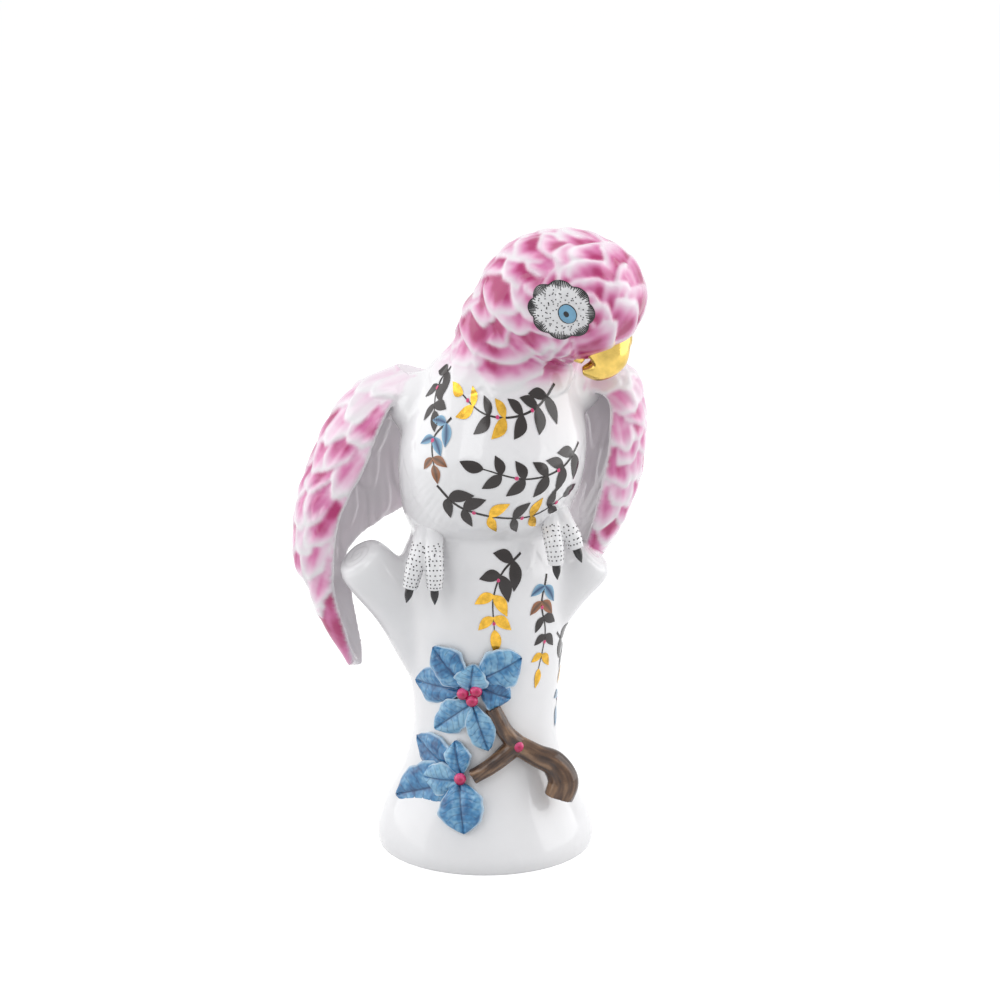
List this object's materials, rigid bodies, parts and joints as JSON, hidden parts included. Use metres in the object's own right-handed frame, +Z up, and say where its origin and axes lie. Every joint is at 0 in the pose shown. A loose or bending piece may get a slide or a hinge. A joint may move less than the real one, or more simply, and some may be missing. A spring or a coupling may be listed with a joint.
{
  "type": "bird figurine",
  "caption": "Porcelain parrot perched on a tree stump with half-spread wings, bowed head, applied leafy twig and berries, hollow with a vent in its flat underside",
  "frame": {"origin": "Centre of the round flat underside, on the surface that the figurine stands on", "axes": "+Z up through the stump and bird; the bird's chest, feet and applied twig face -Y; its head turns and bows towards +X"},
  "size_m": [0.1452, 0.0953, 0.2607],
  "materials": {
    "glazed_porcelain": "glossy white glaze with pink, blue, black and gold painting"
  },
  "bodies": {
    "root": {"parrot_figurine": "glazed_porcelain"}
  },
  "joints": []
}
